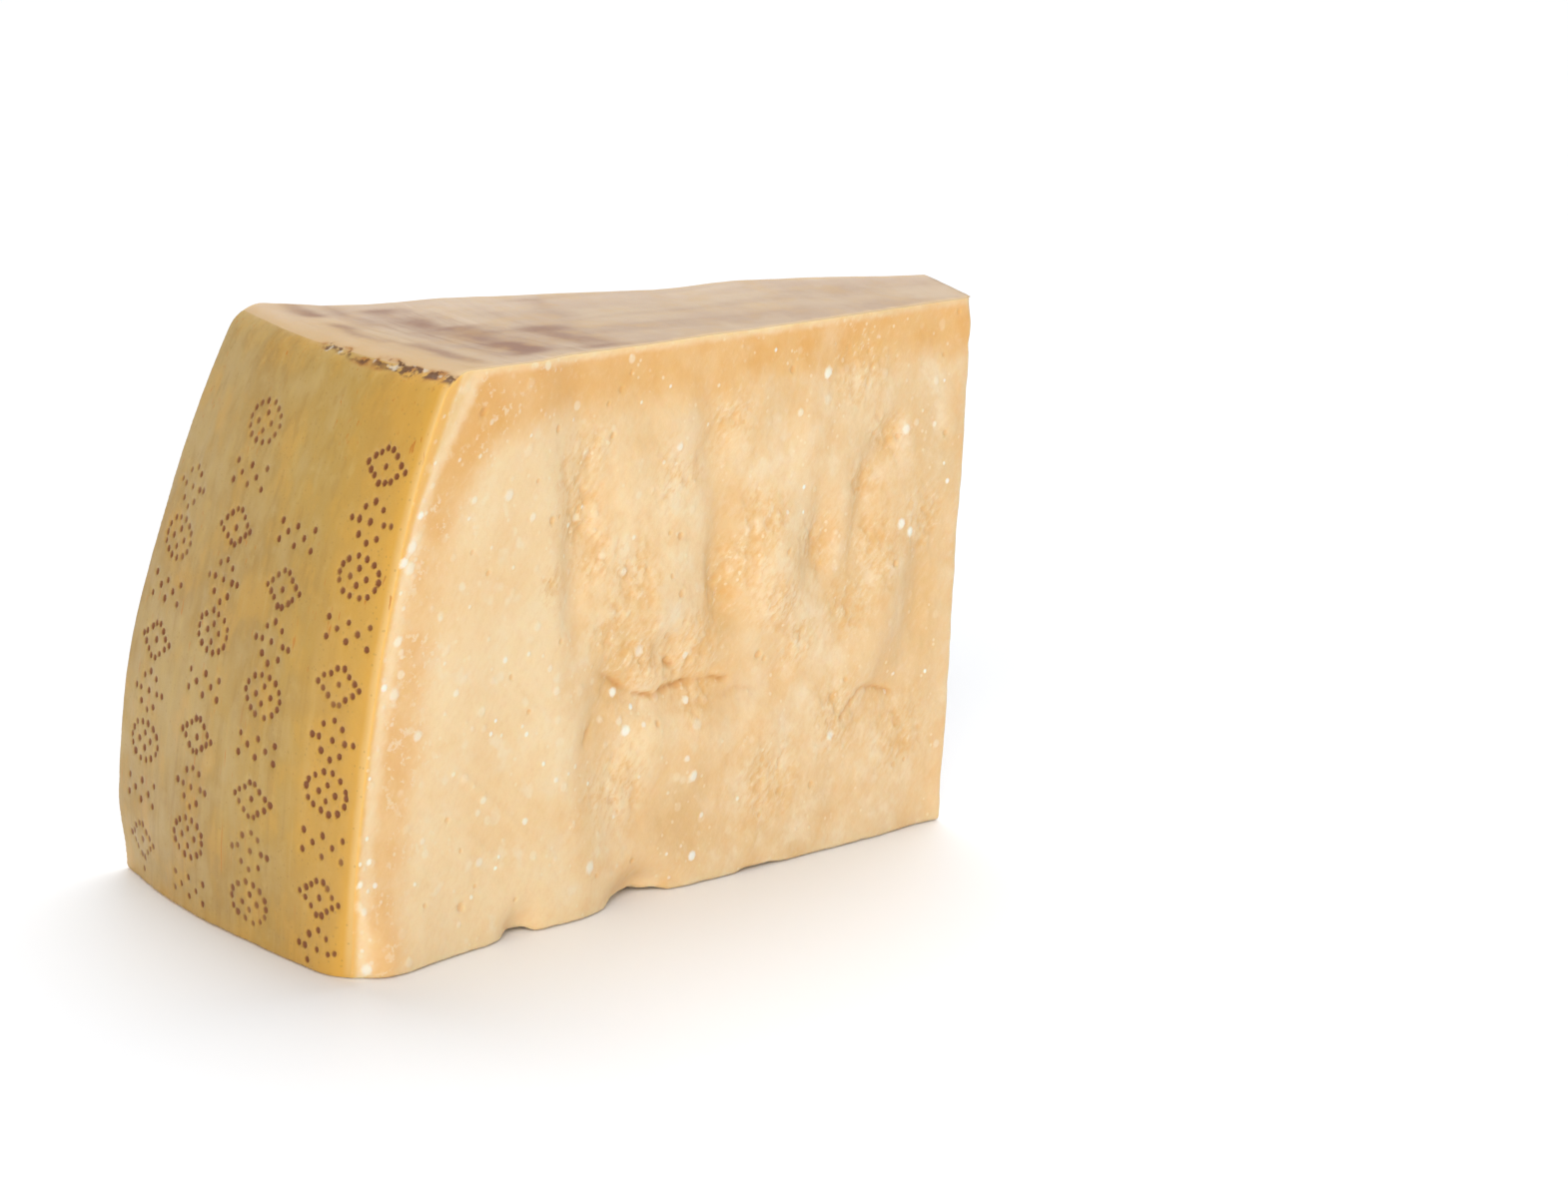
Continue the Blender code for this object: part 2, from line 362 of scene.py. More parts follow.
class Spots:
    """Round marks on one side of the wedge, each with its radius, rise and tint."""

    def __init__(self, x, y, radius, rise, tint):
        self.x, self.y, self.radius, self.rise, self.tint = (
            np.asarray(values, float) for values in (x, y, radius, rise, tint)
        )

    def rings(self, shares, corners, rng):
        """Points round every spot, so that the mesh follows its outline."""
        turn = rng.random((len(self.x), 1)) * 2 * math.pi
        angle = turn + np.arange(corners) * 2 * math.pi / corners
        found = [np.stack([self.x, self.y], 1)]
        for share in shares:
            reach = self.radius[:, None] * share * (1 + 0.12 * rng.uniform(-1, 1, angle.shape))
            x = self.x[:, None] + reach * np.cos(angle)
            y = self.y[:, None] + reach * np.sin(angle)
            found.append(np.stack([x.ravel(), y.ravel()], 1))
        return np.concatenate(found)

    def nearest(self, x, y):
        """For each point, the nearest spot and the distance to it in radii."""
        index = np.zeros(len(x), int)
        away = np.full(len(x), np.inf)
        for i in range(len(self.x)):
            distance = np.hypot(x - self.x[i], y - self.y[i]) / self.radius[i]
            closer = distance < away
            index[closer] = i
            away[closer] = distance[closer]
        return index, away


def spread(rng, count, width, height, gap, keep=None):
    """Random places at least a gap apart."""
    places = []
    for _ in range(count * 40):
        if len(places) == count:
            break
        x, y = rng.uniform(gap, width - gap), rng.uniform(gap, height - gap)
        if keep is not None and rng.random() > keep(x, y):
            continue
        if all(math.hypot(x - a, y - b) > gap for a, b in places):
            places.append((x, y))
    return np.array(places)


def paste_spots(seed, count):
    """White crystals, which stand proud, and small pits, which don't."""
    rng = np.random.default_rng(seed)

    def likely(inward, drop):
        return 0.4 + 0.6 * math.exp(-(((inward - 30) / 34) ** 2))

    places = spread(rng, count, FACE_LENGTH, HEIGHT, 2.2, likely)
    beside_rind = spread(rng, count // 5, 6.5, HEIGHT, 1.0)
    places = np.concatenate([places, beside_rind])
    crystal = rng.random(len(places)) < 0.8
    crystal[-len(beside_rind):] = True
    size = rng.uniform(0, 1, len(places)) ** 2.5
    radius = np.where(crystal, 0.36 + 0.75 * size, 0.45 + 0.4 * size)
    rise = np.where(crystal, 0.05 + 0.12 * size, -0.15 - 0.3 * size)
    bright = 0.12 + 0.88 * rng.uniform(0, 1, len(places)) ** 2.2
    # A negative tint marks the pits, which the paste material paints as shade
    return Spots(places[:, 0], places[:, 1], radius, rise, np.where(crystal, bright, -0.5))


# Ornament of pricked dots, in bands of motifs down the side of the wheel
MOTIF_HALF_WIDTH = 5.7
MOTIF_HALF_HEIGHT = 3.9
MOTIF_PITCH = 10.4
DOT_RADIUS = 0.64
DOT_DEPTH = 0.40
DOT_MARGIN = 1.7
BAND_ANGLES = tuple(math.radians(angle) for angle in (8.6, 2.95, -2.7, -8.35))
BAND_TOPS = (15.0, 32.0, 14.0, 31.0)


def round_outline(corners, count):
    """Dots evenly along a closed outline."""
    corners = np.array(corners + corners[:1], float)
    reach = np.concatenate([[0], np.cumsum(np.hypot(*np.diff(corners, axis=0).T))])
    at = np.arange(count) * reach[-1] / count
    return np.stack([np.interp(at, reach, corners[:, axis]) for axis in (0, 1)], 1)


def lozenge(width, height, count):
    return round_outline([(-width, 0), (0, -height), (width, 0), (0, height)], count)


def ring(width, height, count):
    turn = np.arange(count) * 2 * math.pi / count
    return np.stack([width * np.cos(turn), height * np.sin(turn)], 1)


def motifs():
    """The dots of each motif, across the band and down it."""
    width, height = MOTIF_HALF_WIDTH, MOTIF_HALF_HEIGHT
    centre = np.zeros((1, 2))
    five = np.array([(-1, -1), (1, -1), (0, 0), (-1, 1), (1, 1)]) * (width / 2, height / 2)
    return (
        np.concatenate([lozenge(width, height, 14), centre]),
        np.concatenate([ring(width * 0.64, height, 8), five[:2] * (2, 0), centre]),
        np.concatenate([ring(width, height, 14), lozenge(width / 2.3, height / 2.3, 4)]),
        np.concatenate([five - (width / 2, 0), five + (width / 2, 0)])[[0, 1, 2, 3, 4, 6, 7, 9]],
    )


def rind_spots():
    """The pricked ornament."""
    rng = np.random.default_rng(5)
    dots = []
    for band, (angle, top) in enumerate(zip(BAND_ANGLES, BAND_TOPS)):
        middle = RIND_WIDTH / 2 - angle * WHEEL_RADIUS
        for turn in range(math.ceil((HEIGHT - top) / MOTIF_PITCH) + 1):
            drop = top + MOTIF_HALF_HEIGHT + turn * MOTIF_PITCH
            dots.append(motifs()[(turn + 3 * band) % 4] + (middle, drop))
    x, y = np.concatenate(dots).T
    x = x + rng.normal(0, 0.14, len(x))
    y = y + rng.normal(0, 0.14, len(y))
    inside = (y < HEIGHT - DOT_MARGIN) & (x > DOT_MARGIN) & (x < RIND_WIDTH - DOT_MARGIN)
    x, y = x[inside], y[inside]
    wear = ease(0.5 + 0.9 * layered(x, y, 16, 93, 2) + 0.25 * rng.uniform(-1, 1, len(x)))
    radius = DOT_RADIUS * (0.88 + 0.22 * rng.random(len(x)))
    return Spots(x, y, radius, -DOT_DEPTH * (1 - 0.4 * wear), 1.0 - 0.42 * wear)


# ---------------------------------------------------------------- the mesh


def stations(length, step, fine_ends=True):
    """Even steps along an edge, with shorter ones at its ends, where the edge is worn."""
    ends = (0.0, 0.35, 0.8) if fine_ends else (0.0,)
    inner = length - 2 * ends[-1]
    count = max(2, round(inner / step))
    middle = ends[-1] + inner * np.arange(count + 1) / count
    return np.concatenate([ends[:-1], middle, [length - end for end in reversed(ends[:-1])]])


def hexagonal(width, height, step):
    """Staggered rows of points inside a rectangle."""
    rows = np.arange(step * 0.8, height - step * 0.5, step * 0.87)
    columns = np.arange(step * 0.8, width - step * 0.5, step)
    x, y = np.meshgrid(columns, rows)
    x = x + np.where(np.arange(len(rows)) % 2, step / 2, 0)[:, None]
    keep = x < width - step * 0.5
    return np.stack([x[keep], y[keep]], 1)


def worn_rows(width, height, offsets, step):
    """Rows of points close along the four edges of a rectangle."""
    found = []
    for away in offsets:
        x = np.arange(away, width - away, step)
        y = np.arange(away, height - away, step)
        for row in (away, height - away):
            found.append(np.stack([x, np.full_like(x, row)], 1))
        for column in (away, width - away):
            found.append(np.stack([np.full_like(y, column), y], 1))
    return np.concatenate(found)


def triangulate(outline, inner, spread_out):
    """Triangles over an outline and the points inside it, as rows of indices."""
    points = np.concatenate([outline, inner])
    count = len(outline)
    edges = [(i, (i + 1) % count) for i in range(count)]
    seen = spread_out(points) if spread_out else points
    result = delaunay_2d_cdt([Vector(point) for point in seen], edges, [], 1, 1e-7, True)
    source = [origin[0] for origin in result[3]]
    return points, np.array([[source[i] for i in face] for face in result[2]])


def without(points, spots, share):
    """The points that lie clear of every spot."""
    _, away = spots.nearest(points[:, 0], points[:, 1])
    return points[away > share]


def rectangle_outline(xs, ys):
    low, high = np.full_like(xs, ys[0]), np.full_like(xs, ys[-1])
    left, right = np.full_like(ys, xs[0]), np.full_like(ys, xs[-1])
    sides = ((xs, low), (right, ys), (xs[::-1], high[::-1]), (left, ys[::-1]))
    return np.concatenate([np.stack(side, 1)[:-1] for side in sides])


class Patch:
    """One side of the wedge: its points in the wedge's own coordinates, and its triangles."""

    def __init__(self, name, outline, inner, place, spots=None, spread_out=None):
        self.name, self.spots = name, spots
        self.flat, self.triangles = triangulate(outline, inner, spread_out)
        self.wedge = np.stack(place(self.flat[:, 0], self.flat[:, 1]), 1)


def inner_points(width, height, step, fine_from=None, fine_step=None):
    """Points inside a rectangle, closer together beyond a slanting line if one is given."""
    inner = hexagonal(width, height, step)
    if fine_from is not None:
        fine = hexagonal(width, height, fine_step)
        inner = np.concatenate([
            inner[inner[:, 0] < fine_from(HEIGHT - inner[:, 1])],
            fine[fine[:, 0] > fine_from(HEIGHT - fine[:, 1]) + fine_step],
        ])
    inside = (inner[:, 0] > 1.2) & (inner[:, 0] < width - 1.2)
    inside &= (inner[:, 1] > 1.2) & (inner[:, 1] < height - 1.2)
    return inner[inside]


def side_patch(name, xs, ys, inner, step, place, spots=None):
    width, height = xs[-1], ys[-1]
    inner = np.concatenate([inner, worn_rows(width, height, (0.4, 0.85), step)])
    if spots is not None:
        rings = spots.rings((0.6, 1.0, 1.45), 8, np.random.default_rng(len(name)))
        clear = (rings[:, 0] > 0.5) & (rings[:, 0] < width - 0.5)
        clear &= (rings[:, 1] > 0.5) & (rings[:, 1] < height - 0.5)
        inner = np.concatenate([rings[clear], without(inner, spots, 1.7)])
    return Patch(name, rectangle_outline(xs, ys), inner, place, spots)


SIDE_BOW = 20.0


def flat_patch(name, inward, rind_across, tip_across, drop, step):
    """The top or the bottom: a trapezium that narrows towards the tip."""

    def width(distance):
        return RIND_WIDTH + (TIP_WIDTH - RIND_WIDTH) * distance / FACE_LENGTH

    outline = np.concatenate([
        np.stack([inward, -width(inward) / 2], 1)[:-1],
        np.stack([np.full_like(tip_across, FACE_LENGTH), (tip_across - 0.5) * TIP_WIDTH], 1)[:-1],
        np.stack([inward[::-1], width(inward[::-1]) / 2], 1)[:-1],
        np.stack([np.zeros_like(rind_across), (0.5 - rind_across) * RIND_WIDTH], 1)[:-1],
    ])
    inner = hexagonal(FACE_LENGTH, RIND_WIDTH, step) - (0, RIND_WIDTH / 2)
    rows = [np.stack([inward[2:-2], side * (width(inward[2:-2]) / 2 - away)], 1)
            for away in (0.4, 0.85, 1.6) for side in (-1, 1)]
    across = rind_across[3:-3]
    rows += [np.stack([np.full_like(across, away), (across - 0.5) * RIND_WIDTH], 1)
             for away in (0.4, 0.85, 1.7, 2.8, 4.0, 5.2)]
    inner = inner[(abs(inner[:, 1]) < width(inner[:, 0]) / 2 - 2.6) & (inner[:, 0] > 6.6)]
    inner = np.concatenate([inner] + rows)
    inner = inner[abs(inner[:, 1]) < width(inner[:, 0]) / 2 - 0.3]

    def place(x, y):
        return x, np.full_like(x, drop), np.clip(y / width(x) + 0.5, 0, 1)

    def spread_out(points):
        """Bows the slanting sides, so that no three points on them are in line."""
        x, y = points.T
        bow = SIDE_BOW * x * (FACE_LENGTH - x) / FACE_LENGTH ** 2
        return np.stack([x, y + 2 * y / width(x) * bow], 1)

    return Patch(name, outline, inner, place, spread_out=spread_out)


def build_patches():
    inward = stations(FACE_LENGTH, CRUMBLY_STEP * 1.2)
    drops = stations(HEIGHT, CRUMBLY_STEP * 1.2)
    rind_across = stations(RIND_WIDTH, RIND_STEP) / RIND_WIDTH
    tip_across = stations(TIP_WIDTH, SMOOTH_STEP) / TIP_WIDTH

    def on_side(across):
        return lambda x, y: (x, y, np.full_like(x, across))

    def across_end(distance, width):
        return lambda x, y: (np.full_like(x, distance), y, x / width)

    def fine_from(height):
        return shelf_line(height) - 8

    near = inner_points(FACE_LENGTH, HEIGHT, SMOOTH_STEP, fine_from, CRUMBLY_STEP)
    far = inner_points(FACE_LENGTH, HEIGHT, FAR_STEP)
    rind = inner_points(RIND_WIDTH, HEIGHT, RIND_STEP)
    tip = inner_points(TIP_WIDTH, HEIGHT, SMOOTH_STEP)
    return [
        side_patch("near", inward, drops, near, SMOOTH_STEP, on_side(0.0), paste_spots(3, CRYSTALS)),
        side_patch("far", inward, drops, far, FAR_STEP, on_side(1.0), paste_spots(4, CRYSTALS)),
        side_patch("rind", rind_across * RIND_WIDTH, drops, rind, RIND_STEP,
                   across_end(0.0, RIND_WIDTH), rind_spots()),
        side_patch("tip", tip_across * TIP_WIDTH, drops, tip, SMOOTH_STEP,
                   across_end(FACE_LENGTH, TIP_WIDTH)),
        flat_patch("top", inward, rind_across, tip_across, 0.0, TOP_STEP),
        flat_patch("bottom", inward, rind_across, tip_across, HEIGHT, PLAIN_STEP),
    ]


def merge(patches):
    """One list of points for all the sides, with the points on shared edges made one."""
    wedge = np.concatenate([patch.wedge for patch in patches])
    key = np.round(wedge * (1000, 1000, 100000)).astype(np.int64)
    _, first, index = np.unique(key, axis=0, return_index=True, return_inverse=True)
    index = index.reshape(-1)
    start, faces, side = 0, [], []
    for number, patch in enumerate(patches):
        faces.append(index[patch.triangles + start])
        side.append(np.full(len(patch.triangles), number))
        start += len(patch.wedge)
    return wedge[first], np.concatenate(faces), np.concatenate(side), index


TIP_CORNER = 1.5
NEAR_FOOT = 11.0  # the near end of the rind is rounder at the foot
NEAR_FOOT_HEIGHT = 12.0
EDGE_WEAR = 0.29  # how far a rounded edge stands back, as a share of its radius


def soften(on_a, on_b, to_b, to_a, radius):
    """How far sides a and b sink beside the edge that they share, which is worn round.

    to_b is the distance from b along a, and to_a the distance from a along b."""
    share_a = np.clip(1 - to_b / radius, 0, 1) * on_a
    share_b = np.clip(1 - to_a / radius, 0, 1) * on_b
    sink_a = EDGE_WEAR * radius * np.maximum(share_a ** 2, share_b ** 1.3)
    sink_b = EDGE_WEAR * radius * np.maximum(share_b ** 2, share_a ** 1.3)
    return sink_a, sink_b


def spot_fields(patches, index, count):
    """Rise and tint at every point, from the spots of the side that it lies on."""
    rise, tint = np.zeros(count), np.zeros(count)
    start = 0
    for patch in patches:
        if patch.spots is not None:
            which, away = patch.spots.nearest(patch.flat[:, 0], patch.flat[:, 1])
            inside = np.clip((1.42 - away) / 0.62, 0, 1)
            core = np.clip((1.35 - away) / 0.5, 0, 1)
            here = index[start:start + len(patch.flat)]
            rise[here] = patch.spots.rise[which] * ease(inside)
            tint[here] = patch.spots.tint[which] * core
        start += len(patch.flat)
    return rise, tint


def shape(wedge, rise):
    """Places every point: the wedge's form, its relief and its worn edges. Metres.

    Also returns the measures that the materials read."""
    flat_inward, flat_drop, across = wedge.T
    on_near, on_far = across < 1e-6, across > 1 - 1e-6
    on_rind, on_tip = flat_inward < 1e-6, flat_inward > FACE_LENGTH - 1e-6
    on_top, on_bottom = flat_drop < 1e-6, flat_drop > HEIGHT - 1e-6

    inward, drop = round_rim(flat_inward, flat_drop)
    height = HEIGHT - drop
    angle = HALF_ANGLE * (2 * across - 1)
    radius = plan_radius(inward, height, angle)
    along = flat_inward / FACE_LENGTH
    from_foot = WHEEL_RADIUS - radius
    width = WEDGE_ANGLE * radius
    from_near, from_far = across * width, (1 - across) * width
    from_tip = radius - TIP_RADIUS
    arc = angle * radius

    # Fine relief of each side, which dies away over the sides next to it
    tears = torn(from_foot, height)
    cracks = crack_depth(from_foot, height)
    holes = pits(from_foot, height, 150, tears)
    near_fine = crumble(from_foot, height, 100, tears) + knife_marks(from_foot, height)
    near_fine = near_fine - cracks - holes
    far_tears = ease(layered(from_foot, height, 20, 350, 2) * 2.5)
    far_holes = pits(from_foot, height, 360, far_tears)
    far_fine = crumble(from_foot, height, 300, far_tears) - far_holes
    edge_share = (ease((flat_drop - 0.3) / 5) * 0.8 + 0.2) * (ease((flat_inward - 0.5) / 7) * 0.85 + 0.15)
    edge_share = edge_share * (ease((from_tip - 0.3) / 5) * 0.75 + 0.25)
    near_fine, far_fine = near_fine * edge_share, far_fine * edge_share
    bend = 2.6 * layered(from_foot, height, 13, 51, 3) * ease(height / 8)
    bend_up = 2.6 * layered(from_foot, height, 13, 56, 3) * ease(height / 8)
    near_out = broad_relief(from_foot + bend, height + bend_up, NEAR_MARKS) * (1 - across)
    far_out = broad_relief(from_foot + bend, height + bend_up, far_marks()) * across
    near_out = near_out + near_fine * np.clip(1 - from_near / 4, 0, 1) ** 2
    far_out = far_out + far_fine * np.clip(1 - from_far / 4, 0, 1) ** 2

    rind_fine = 0.16 * layered(arc, height * 0.5, 13, 501, 3) + 0.05 * layered(arc, height, 1.9, 504, 2)
    rind_fine = rind_fine + 0.09 * lattice(arc / 2.4, height / 30, 507)
    tip_fine = 0.5 * crumble(arc + 90, height, 400, 0.0)
    top_fine = 0.25 * layered(radius, arc, 24, 601, 3) + 0.07 * layered(radius, arc * 2, 4, 604, 2)
    top_fine = top_fine * ease(flat_inward / 8)
    scar = rim_scar(flat_inward, flat_drop, angle)
    wave = RIND_WAVE * np.sin(angle * RIND_WAVES + height * 0.060) + belly(height) * across ** 2
    rind_out = wave + rind_fine * np.clip(1 - flat_inward / 3, 0, 1) - scar
    tip_out = tip_fine * np.clip(1 - from_tip / 3, 0, 1)
    up = top_fine * np.clip(1 - flat_drop / 3, 0, 1) + top_lift(from_foot, across) * height / HEIGHT

    # Worn edges
    ragged = 0.5 + 0.5 * layered(from_foot + arc, height - arc, 5, 701, 3)
    cut = 0.6 + 1.1 * ragged ** 2
    crisp = 0.40 + 0.25 * ragged
    tip_cut = cut + TIP_CORNER * ease((height - HEIGHT + 7) / 6)
    near_foot = crisp + NEAR_FOOT * np.exp(-((height / NEAR_FOOT_HEIGHT) ** 2))
    sink = dict.fromkeys(("near", "far", "rind", "tip", "top", "bottom"), 0.0)
    on = {"near": on_near, "far": on_far, "rind": on_rind, "tip": on_tip, "top": on_top, "bottom": on_bottom}
    away = {"near": from_near, "far": from_far, "rind": flat_inward, "tip": from_tip,
            "top": flat_drop, "bottom": height}
    edges = (
        ("near", "rind", near_foot), ("near", "top", crisp), ("near", "bottom", cut), ("near", "tip", tip_cut),
        ("far", "rind", crisp), ("far", "top", crisp), ("far", "bottom", cut), ("far", "tip", cut),
        ("rind", "bottom", crisp), ("tip", "top", crisp), ("tip", "bottom", cut),
    )
    for a, b, wear in edges:
        sink_a, sink_b = soften(on[a], on[b], away[b], away[a], wear)
        sink[a] = sink[a] + sink_a
        sink[b] = sink[b] + sink_b
    # The underside draws in with the worn corner
    inner = on_bottom & ~on_near & ~on_rind
    share_in = np.clip(1 - flat_inward / near_foot, 0, 1)
    share_across = np.clip(1 - from_near / near_foot, 0, 1)
    sink["near"] = sink["near"] + inner * EDGE_WEAR * near_foot * share_in ** 2 * share_across ** 1.3
    sink["rind"] = sink["rind"] + inner * EDGE_WEAR * near_foot * share_across ** 2 * share_in ** 1.3
    near_out = near_out - sink["near"]
    far_out = far_out - sink["far"]
    rind_out = rind_out - sink["rind"]
    tip_out = tip_out - sink["tip"]
    up = up - sink["top"]
    lift = sink["bottom"] + on_bottom * 0.25 * ease((np.minimum(from_near, from_far) - 2) / 6) * (
        0.5 + 0.5 * layered(radius, arc, 7, 801, 3))

    # Spots rise from the side that they are on
    near_out = near_out + on_near * rise
    far_out = far_out + on_far * rise
    rind_out = rind_out + on_rind * rise

    chip_edge = 1.4 * layered(from_foot, height + arc, 5, 811, 3)
    for at, half_length, high in CHIPS:
        chip = high * ease(1.6 - abs(from_foot + chip_edge - at) / half_length)
        lift = lift + chip * np.clip(1 - from_near / 7, 0, 1) * np.clip(1 - height / 5, 0, 1)

    radius = radius + rind_out * (1 - along) - tip_out * along
    x = -radius * np.cos(angle) + (near_out + far_out) * math.sin(HALF_ANGLE)
    y = radius * np.sin(angle) + (far_out - near_out) * math.cos(HALF_ANGLE)
    z = np.maximum(height + up + lift, 0)
    places = np.stack([x, y, z], 1) * MM
    middle = (places.min(axis=0) + places.max(axis=0)) / 2
    places[:, :2] += ((LOW + HIGH) / 2 - middle)[:2]

    side_depth = WHEEL_RADIUS - side_inset(height) - plan_radius(inward, height, angle)
    crust = np.minimum(side_depth * 0.85, drop)
    crust = crust + 1.8 * layered(from_foot, height, 14, 901, 3) * ease(crust / 6)
    fine = np.where(on_near, near_fine, np.where(on_far, far_fine, 0))
    hole = np.where(on_near, holes, np.where(on_far, far_holes, 0)) / PIT_DEPTH
    measures = {
        "crust": crust,
        "side_depth": side_depth,
        "top_depth": drop,
        # painted shade in the hollows of the fine relief and in its pits
        "painted_hollow_shade": np.clip(-fine / 1.6 + 0.6 * hole, 0, 1),
        # crack depth, which paints shade in the cracks
        "crack": np.clip(cracks * on_near, 0, 1),
        # painted shade where the near face turns from the light
        "dull": painted_shade_places(from_foot + bend, height + bend_up) * on_near,
        # groove depth, which paints shade in the grooves
        "groove": groove_depth(from_foot + bend, height + bend_up) * on_near,
        "torn": np.where(on_near, tears, np.where(on_far, 0.6 * far_tears, 0)),
        "near_side": 1 - across,
        "to_near": from_near,
        "to_cut": np.minimum(from_near, from_far),
        "scar": np.clip(scar / 0.5, 0, 1),
        "stain": top_stain(radius, angle) * on_top,
        "low": height,
        "radius": radius,
        "arc": arc,
    }
    return places, measures


# Brown stains on the top, which follow the wheel round: radius, from and to in degrees, half width, strength
STAINS = (
    (189, -2.5, 4.5, 2.6, 0.5), (186, -10.0, -3.0, 3.0, 0.5), (168, -9.5, 1.5, 8.5, 1.0),
    (172, 0.5, 9.0, 6.0, 0.65), (181, 3.0, 11.0, 4.5, 0.5), (189, 6.5, 11.5, 4.0, 0.9),
    (151, -10.5, -0.5, 8.0, 0.55), (160, -11.5, -5.0, 4.0, 0.4), (178, -8.0, 1.0, 4.0, 0.3),
    (138, 1.0, 9.0, 5.0, 0.3),
)


def top_stain(radius, angle):
    degrees = np.degrees(angle)
    arc = angle * radius
    bend = 3.0 * layered(radius, arc, 16, 651, 3)
    total = 0.0
    for at, first, last, half_width, strength in STAINS:
        across = (radius + bend - at) / half_width
        ends = ease((degrees - first) / 1.6 + 0.5) * ease((last - degrees) / 1.6 + 0.5)
        total = np.maximum(total, strength * ends * np.exp(-across * across))
    streak = lattice(arc / 4.5, radius / 42, 661) + 0.6 * lattice(arc / 2.4, radius / 25, 662)
    faint = 0.20 * ease(0.5 + streak) * ease((185 - radius) / 40)
    return np.clip(total * (0.85 + 0.5 * layered(radius, arc, 9, 671, 2)) + faint, 0, 1)


def rim_scar(inward, drop, angle):
    """A ragged scrape along the near half of the rim."""
    along_rim = ease((-angle / HALF_ANGLE + 0.12) / 0.2)
    across_rim = np.exp(-(((drop - inward) / 2.0 - 0.2) ** 2))
    near_rim = np.clip(1 - (inward + drop) / 9, 0, 1)
    rough = 0.5 + 0.9 * layered(angle * WHEEL_RADIUS, 1.3 * (drop - inward), 3.4, 951, 3)
    return 0.75 * along_rim * across_rim * near_rim * np.clip(rough, 0, 1.3)


# ---------------------------------------------------------------- materials


def linear(red, green, blue):
    """A screen colour, 0 to 255, as the light that it stands for."""
    values = (np.array([red, green, blue]) / 255.0)
    low, high = values / 12.92, ((values + 0.055) / 1.055) ** 2.4
    return tuple(np.where(values <= 0.04045, low, high)) + (1.0,)


PASTE = linear(252, 221, 174)
PASTE_DEEP = linear(247, 212, 160)
PASTE_PALE = linear(252, 231, 196)
PASTE_GREY = linear(237, 204, 152)
# Painted shade: the paste towards the tip
PASTE_SHADE = linear(230, 197, 149)
# Painted shade where the near face turns from the light
PASTE_PAINTED_SHADE = linear(229, 190, 132)
BAND = linear(238, 190, 122)
BAND_DEEP = linear(234, 178, 102)
RIND_LINE = linear(238, 203, 140)
# Golden: the torn grain and mottle, and also the painted shade in grooves, hollows and pits
GOLD_AND_HOLLOW_SHADE = linear(230, 174, 96)
# Painted shade inside the cracks
CRACK = linear(222, 160, 84)
CRYSTAL = linear(255, 250, 236)
CRUMB = linear(250, 228, 194)
RIND = linear(188, 150, 72)
RIND_FAR = linear(188, 157, 98)
RIND_DARK = linear(168, 130, 64)
RIND_PALE = linear(200, 168, 100)
RIND_GOLD = linear(219, 165, 68)
RIND_EDGE = linear(236, 178, 70)
RIND_CHALKY = linear(196, 168, 112)
SCRATCH = linear(196, 124, 40)
DOT = linear(126, 70, 32)
TOP = linear(190, 164, 138)
TOP_PALE = linear(200, 176, 148)
TOP_WARM = linear(204, 170, 122)
TOP_LIGHT = linear(214, 192, 170)
TOP_STAIN = linear(146, 108, 86)
TOP_LINE = linear(218, 186, 138)
DIRT = linear(96, 60, 34)
RUST = linear(176, 118, 52)
CHALK = linear(214, 202, 180)


